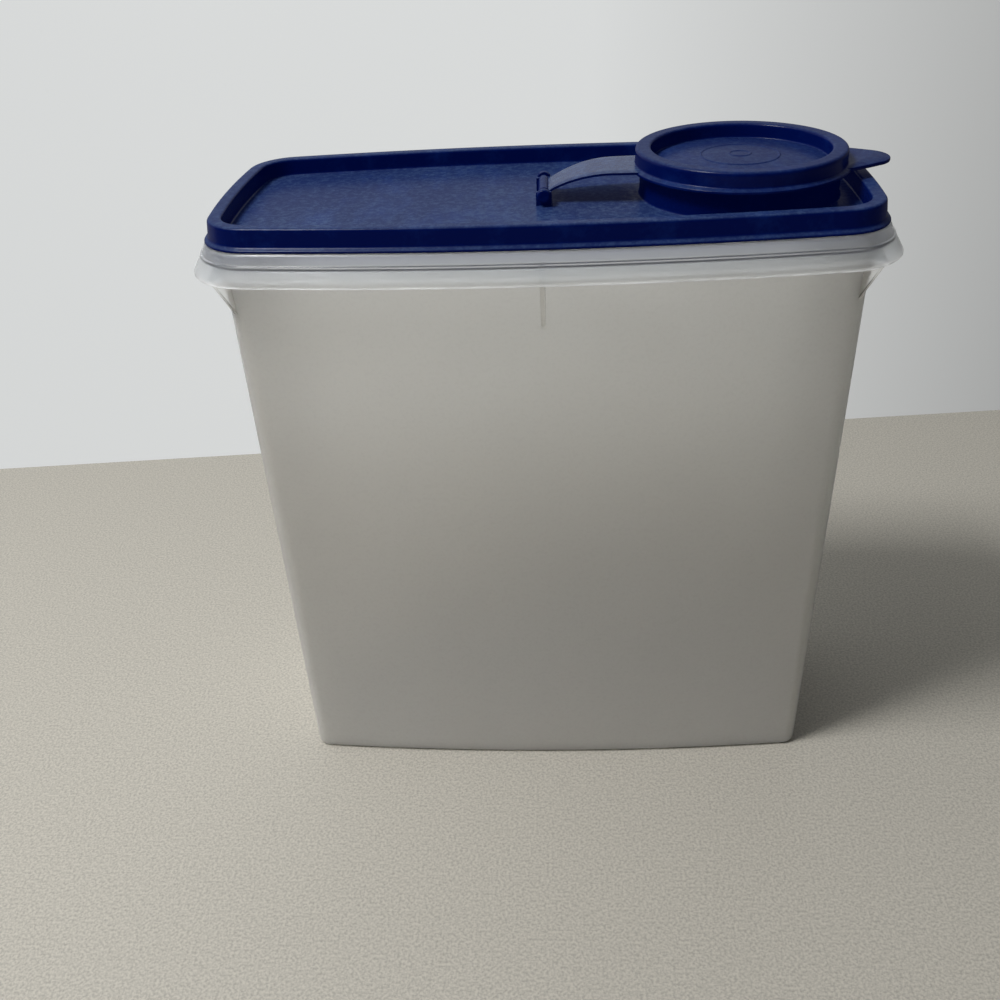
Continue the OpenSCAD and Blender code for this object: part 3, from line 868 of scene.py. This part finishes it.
def tab_outline(cap, spout, at):
    """Outline of the finger tab: along the cap's wall, a hollow flare and a round tip."""
    mm = MM
    r = at.skirt_in + 0.65 * mm
    a = math.asin(cap.tab_root / r)
    t = np.linspace(a, -a, 24)
    root = np.column_stack([spout.x + r * np.cos(t), r * np.sin(t)])
    tip_x = spout.x + cap.tab_reach - cap.tab_tip
    b = math.radians(64)
    t = np.linspace(-b, b, 30)
    tip = np.column_stack([tip_x + cap.tab_tip * np.cos(t), cap.tab_tip * np.sin(t)])
    s = np.linspace(0, 1, 12)[1:-1, None]
    start, end = root[-1:], tip[:1]
    knee = np.array([[spout.x + 43.2 * mm, -13.4 * mm]])
    lower = (1 - s) ** 2 * start + 2 * s * (1 - s) * knee + s**2 * end
    upper = lower[::-1] * np.array([1, -1])
    return np.vstack([root, lower, tip, upper])


def bar_profile(hinge, at):
    """Profile of (radius, place along the bar): knob, bar, sleeve, bar and knob."""
    mm = MM
    end = at.knob_y + hinge.knob_length
    half = [
        (hinge.strap_half, hinge.sleeve),
        (hinge.strap_half, hinge.bar),
        (at.knob_y, hinge.bar),
        (at.knob_y, hinge.knob),
        (end, hinge.knob),
        (end, 0.3 * mm),
    ]
    right = [(r, y) for y, r in half]
    left = [(r, -y) for r, y in right[::-1]]
    radii = np.array([0, 1.3, 0.5, 0.1, 0.1, 0.4, 0.4, 0.1, 0.1, 0.5, 1.3, 0]) * mm
    return softened(left + right, radii, steps=6)


def clip_outline(hinge, at):
    """Outline of a clip: a block with a round bore, open at its top where the bar snaps in.

    The jaws rise on a circle around the bar and end a little above its middle.
    """
    bore = hinge.bar + hinge.bar_gap
    r = bore + hinge.clip_wall
    x, z = hinge.x, at.axis_z
    outer, inner = math.asin(hinge.jaw / r), math.asin(hinge.jaw / bore)
    t = np.linspace(0, outer, 8)
    right = np.column_stack([x + r * np.cos(t), z + r * np.sin(t)])
    t = np.linspace(inner, -math.pi - inner, 48)
    hollow = np.column_stack([x + bore * np.cos(t), z + bore * np.sin(t)])
    left = right[::-1] * np.array([-1, 1]) + np.array([2 * x, 0])
    base = at.panel - 0.4 * MM
    corners = np.array([[x - r, base], [x + r, base]])
    return np.vstack([right, hollow, left, corners])


def arc_middle(half_l, half_w, corner, side_r, end_r):
    """Middle of a corner arc, where the circles around the other two arcs' middles cross."""
    line = bowed_outline(half_l, half_w, corner, side_r, end_r, counts=(1, 2, 1))[0]
    start, mid, end = line[1], line[2], line[3]
    chord = (start + end) / 2
    inward = (chord - mid) / np.linalg.norm(chord - mid)
    return mid + corner * inward


def rib_piece(name, rim, tub, middle, turn, neck, wall, foot):
    """A gusset rib: a thin plate in an upright plane from a middle in a direction.

    Its outline in (distance, height) runs down the neck, down the shoulder to the wall,
    down to its foot there and straight up to the skirt's inner edge. Points are the middle
    plus the distance along the direction plus the thickness across it.
    """
    mm = MM
    under = rim.top - tub.fold_drop - tub.skirt + 0.6 * mm
    low = rim.top - tub.skirt_drop
    shoulder = low - tub.shoulder
    line = softened(
        [
            (neck - 0.8 * mm, under),
            (wall - 0.8 * mm, shoulder + 4 * mm),
            (wall - 0.8 * mm, shoulder + foot),
            (neck + tub.skirt_out - 0.9 * mm, low + 0.5 * mm),
            (neck + tub.fold_out - 1 * mm, under),
        ],
        0.2 * mm,
        steps=3,
        closed=True,
    )
    half = tub.rib / 2
    across = np.array([-half, -half * 0.55, half * 0.55, half])
    edge = [inset(line, d * mm) for d in (0.3, 0.0, 0.0, 0.3)]
    rows = raised(np.stack(edge), across)
    c, s = math.cos(turn), math.sin(turn)
    x = middle[0] + rows[..., 0] * c + rows[..., 2] * s
    y = middle[1] + rows[..., 0] * s - rows[..., 2] * c
    return grid_piece(name, np.stack([x, y, rows[..., 1]], axis=2))


# ---------------------------------------------------------------- operators


class KEEPER_OT_tub(bpy.types.Operator):
    """Build the frosted tub and its gusset ribs"""

    bl_idname = "keeper.tub"
    bl_label = "Frosted tub"

    def execute(self, context):
        scene = context.scene
        rim, tub = scene.keeper_rim, scene.keeper_tub
        frosted = frosted_plastic(scene)
        web = frosted_plastic(scene, "frosted_web", 1.1)
        shell = grid_piece("tub_shell", tub_rows(rim, tub))
        finish_piece(shell, frosted, "tub", "frosted_tub", "container")
        ribs = [
            (name, (0, 0), heading, rim.half_w, tub.top_w, -4 * MM)
            for name, heading in (("front_rib", -90), ("back_rib", 90))
        ]
        turn = math.radians(tub.rib_turn)
        neck = arc_middle(rim.half_l, rim.half_w, rim.corner, rim.side_bow, rim.end_bow)
        wall = arc_middle(tub.top_l, tub.top_w, tub.top_corner, tub.side_bow, tub.end_bow)
        way, apart = np.array([math.cos(turn), math.sin(turn)]), wall - neck
        across = apart[0] * way[1] - apart[1] * way[0]
        reach = apart @ way + math.sqrt(tub.top_corner**2 - across**2)
        for row, sy in (("front", -1), ("back", 1)):
            for side, sx in (("left", -1), ("right", 1)):
                name, place = f"{row}_{side}_rib", (sx * neck[0], sy * neck[1])
                heading = math.degrees(math.atan2(sy * way[1], sx * way[0]))
                ribs.append((name, place, heading, rim.corner, reach, 1 * MM))
        for name, middle, heading, *ends in ribs:
            rib = rib_piece(name, rim, tub, middle, math.radians(heading), *ends)
            finish_piece(rib, web, "tub", "frosted_tub")
        return {"FINISHED"}


class KEEPER_OT_lid(bpy.types.Operator):
    """Build the lid with its hollow rim, panel and spout collar"""

    bl_idname = "keeper.lid"
    bl_label = "Press-on lid"

    def execute(self, context):
        scene = context.scene
        # Painted shade and grime: the panel under the strap loses most of its sheen.
        under_strap = (20 * MM, 0.0, Measures(scene).panel)
        navy = navy_plastic(scene.keeper_finish, "navy_lid_plastic", 0.55, dull=under_strap)
        lid = grid_piece("lid_shell", lid_rows(scene.keeper_rim, scene.keeper_spout), closed=True)
        finish_piece(lid, navy, "lid", "navy_lid", "lid")
        return {"FINISHED"}


class KEEPER_OT_clips(bpy.types.Operator):
    """Build the two clips that hold the hinge bar"""

    bl_idname = "keeper.clips"
    bl_label = "Hinge clips"

    def execute(self, context):
        scene = context.scene
        hinge, at = scene.keeper_hinge, Measures(scene)
        navy = navy_plastic(scene.keeper_finish)
        outline = clip_outline(hinge, at)
        for low, name in ((at.clip_y, "clip_front"), (-at.clip_y - hinge.clip, "clip_back")):
            clip = slab(name, outline, low, low + hinge.clip, 0.25 * MM, plane="XZ")
            finish_piece(clip, navy, "lid", "navy_lid")
        return {"FINISHED"}


class KEEPER_OT_cap(bpy.types.Operator):
    """Build the round flip cap"""

    bl_idname = "keeper.cap"
    bl_label = "Flip cap"

    def execute(self, context):
        scene = context.scene
        at = Measures(scene)
        navy = navy_plastic(scene.keeper_finish, "navy_cap_plastic", 0.35)
        profile = cap_profile(scene.keeper_cap, at)
        cap = turned("cap_shell", profile, (scene.keeper_spout.x, 0, 0), "Z")
        finish_piece(cap, navy, "cap", "navy_cap", "flip_cap")
        return {"FINISHED"}


class KEEPER_OT_strap(bpy.types.Operator):
    """Build the arched strap, the hinge bar with its knobs, and the finger tab"""

    bl_idname = "keeper.strap"
    bl_label = "Strap, bar and tab"

    def execute(self, context):
        scene = context.scene
        cap, hinge, spout = scene.keeper_cap, scene.keeper_hinge, scene.keeper_spout
        at = Measures(scene)
        navy = navy_plastic(scene.keeper_finish, "navy_cap_plastic", 0.35)
        dull = navy_plastic(scene.keeper_finish, "navy_strap_plastic", 0.7, 0.6)
        strap = grid_piece("strap", strap_rows(cap, hinge, spout, at))
        finish_piece(strap, dull, "cap", "navy_cap")
        pieces = [
            turned("hinge_bar", bar_profile(hinge, at), (hinge.x, 0, at.axis_z), "Y", 72),
            slab("finger_tab", tab_outline(cap, spout, at), at.low, at.low + cap.sheet, 0.45 * MM),
        ]
        for piece in pieces:
            finish_piece(piece, navy, "cap", "navy_cap")
        return {"FINISHED"}


class KEEPER_OT_studio(bpy.types.Operator):
    """Set up the floor, the backdrop, the soft lights and the camera"""

    bl_idname = "keeper.studio"
    bl_label = "Studio"

    def execute(self, context):
        scene = context.scene
        finish = scene.keeper_finish
        worktop = plain_surface("worktop", finish.worktop, 0.6, 0.34)
        backdrop = plain_surface("backdrop", finish.backdrop, 0.8, 0.03, finish.glow)
        low = -0.05 * MM
        corners = [(-3, -3, low), (3, -3, low), (3, 0.506, low), (-3, 0.018, low)]
        sheet("worktop", corners, worktop)
        corners = [(-7.1, 1.09, -4), (6.9, 2.23, -4), (6.9, 2.23, 5), (-7.1, 1.09, 5)]
        sheet("backdrop", corners, backdrop)
        soft_light("key", (-0.56, -0.3, 1.25), (0.0, 0.0, 0.15), 0.3, 12.0)
        soft_light("window", (-0.75, -0.2, 1.3), (0.0, 0.0, 0.1), 1.0, 4.0)
        world = bpy.data.worlds.new("room")
        world.use_nodes = True
        glow = world.node_tree.nodes["Background"]
        glow.inputs["Color"].default_value = (0.92, 0.95, 1.0, 1.0)
        glow.inputs["Strength"].default_value = 0.05
        scene.world = world
        scene.view_settings.view_transform = "Standard"
        data = bpy.data.cameras.new("camera")
        data.sensor_width, data.lens = 36.0, 38.886
        data.clip_start, data.clip_end = 0.01, 20.0
        camera = bpy.data.objects.new("camera", data)
        scene.collection.objects.link(camera)
        # The camera's place and its three directions were fitted to the reference view.
        right = (0.998332, 0.037878, -0.043562)
        up = (0.017042, 0.527592, 0.849327)
        back = (0.055154, -0.848653, 0.526067)
        turn = Matrix((right, up, back)).transposed().to_4x4()
        camera.matrix_world = Matrix.Translation((0.004743, -0.415787, 0.367541)) @ turn
        scene.camera = camera
        return {"FINISHED"}


def sheet(name, corners, material):
    """A flat stage surface through four corners."""
    mesh = bpy.data.meshes.new(name)
    mesh.from_pydata(corners, [], [(0, 1, 2, 3)])
    mesh.materials.append(material)
    piece = bpy.data.objects.new(name, mesh)
    bpy.context.scene.collection.objects.link(piece)
    return piece


def soft_light(name, place, target, width, power):
    """A square area light that faces a point."""
    data = bpy.data.lights.new(name, "AREA")
    data.size, data.energy = width, power
    lamp = bpy.data.objects.new(name, data)
    bpy.context.scene.collection.objects.link(lamp)
    place, target = np.array(place), np.array(target)
    back = (place - target) / np.linalg.norm(place - target)
    right = np.cross((0, 1, 0), back)
    right /= np.linalg.norm(right)
    up = np.cross(back, right)
    turn = Matrix((right.tolist(), up.tolist(), back.tolist())).transposed().to_4x4()
    lamp.matrix_world = Matrix.Translation(place.tolist()) @ turn
    return lamp


class KEEPER_PT_panel(bpy.types.Panel):
    """Buttons and sizes for the container"""

    bl_idname = "KEEPER_PT_panel"
    bl_label = "Cereal container"
    bl_space_type = "VIEW_3D"
    bl_region_type = "UI"
    bl_category = "Keeper"

    def draw(self, context):
        layout = self.layout
        for step in STEPS:
            layout.operator(step.bl_idname)
        for group in GROUPS:
            box = layout.box()
            box.label(text=group.replace("keeper_", "").capitalize())
            settings = getattr(context.scene, group)
            for key in settings.bl_rna.properties.keys():
                if key not in {"rna_type", "name"}:
                    box.prop(settings, key)


STEPS = (
    KEEPER_OT_studio,
    KEEPER_OT_tub,
    KEEPER_OT_lid,
    KEEPER_OT_clips,
    KEEPER_OT_cap,
    KEEPER_OT_strap,
)
CLASSES = (*GROUPS.values(), *STEPS, KEEPER_PT_panel)


def register():
    """Registers the classes and puts the settings on the scene."""
    for cls in CLASSES:
        bpy.utils.register_class(cls)
    for name, group in GROUPS.items():
        setattr(bpy.types.Scene, name, PointerProperty(type=group))


def unregister():
    """Takes the settings and classes away again."""
    for name in GROUPS:
        delattr(bpy.types.Scene, name)
    for cls in reversed(CLASSES):
        bpy.utils.unregister_class(cls)


def main():
    """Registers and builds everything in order."""
    register()
    bpy.ops.keeper.studio()
    bpy.ops.keeper.tub()
    bpy.ops.keeper.lid()
    bpy.ops.keeper.clips()
    bpy.ops.keeper.cap()
    bpy.ops.keeper.strap()


if __name__ == "__main__":
    main()
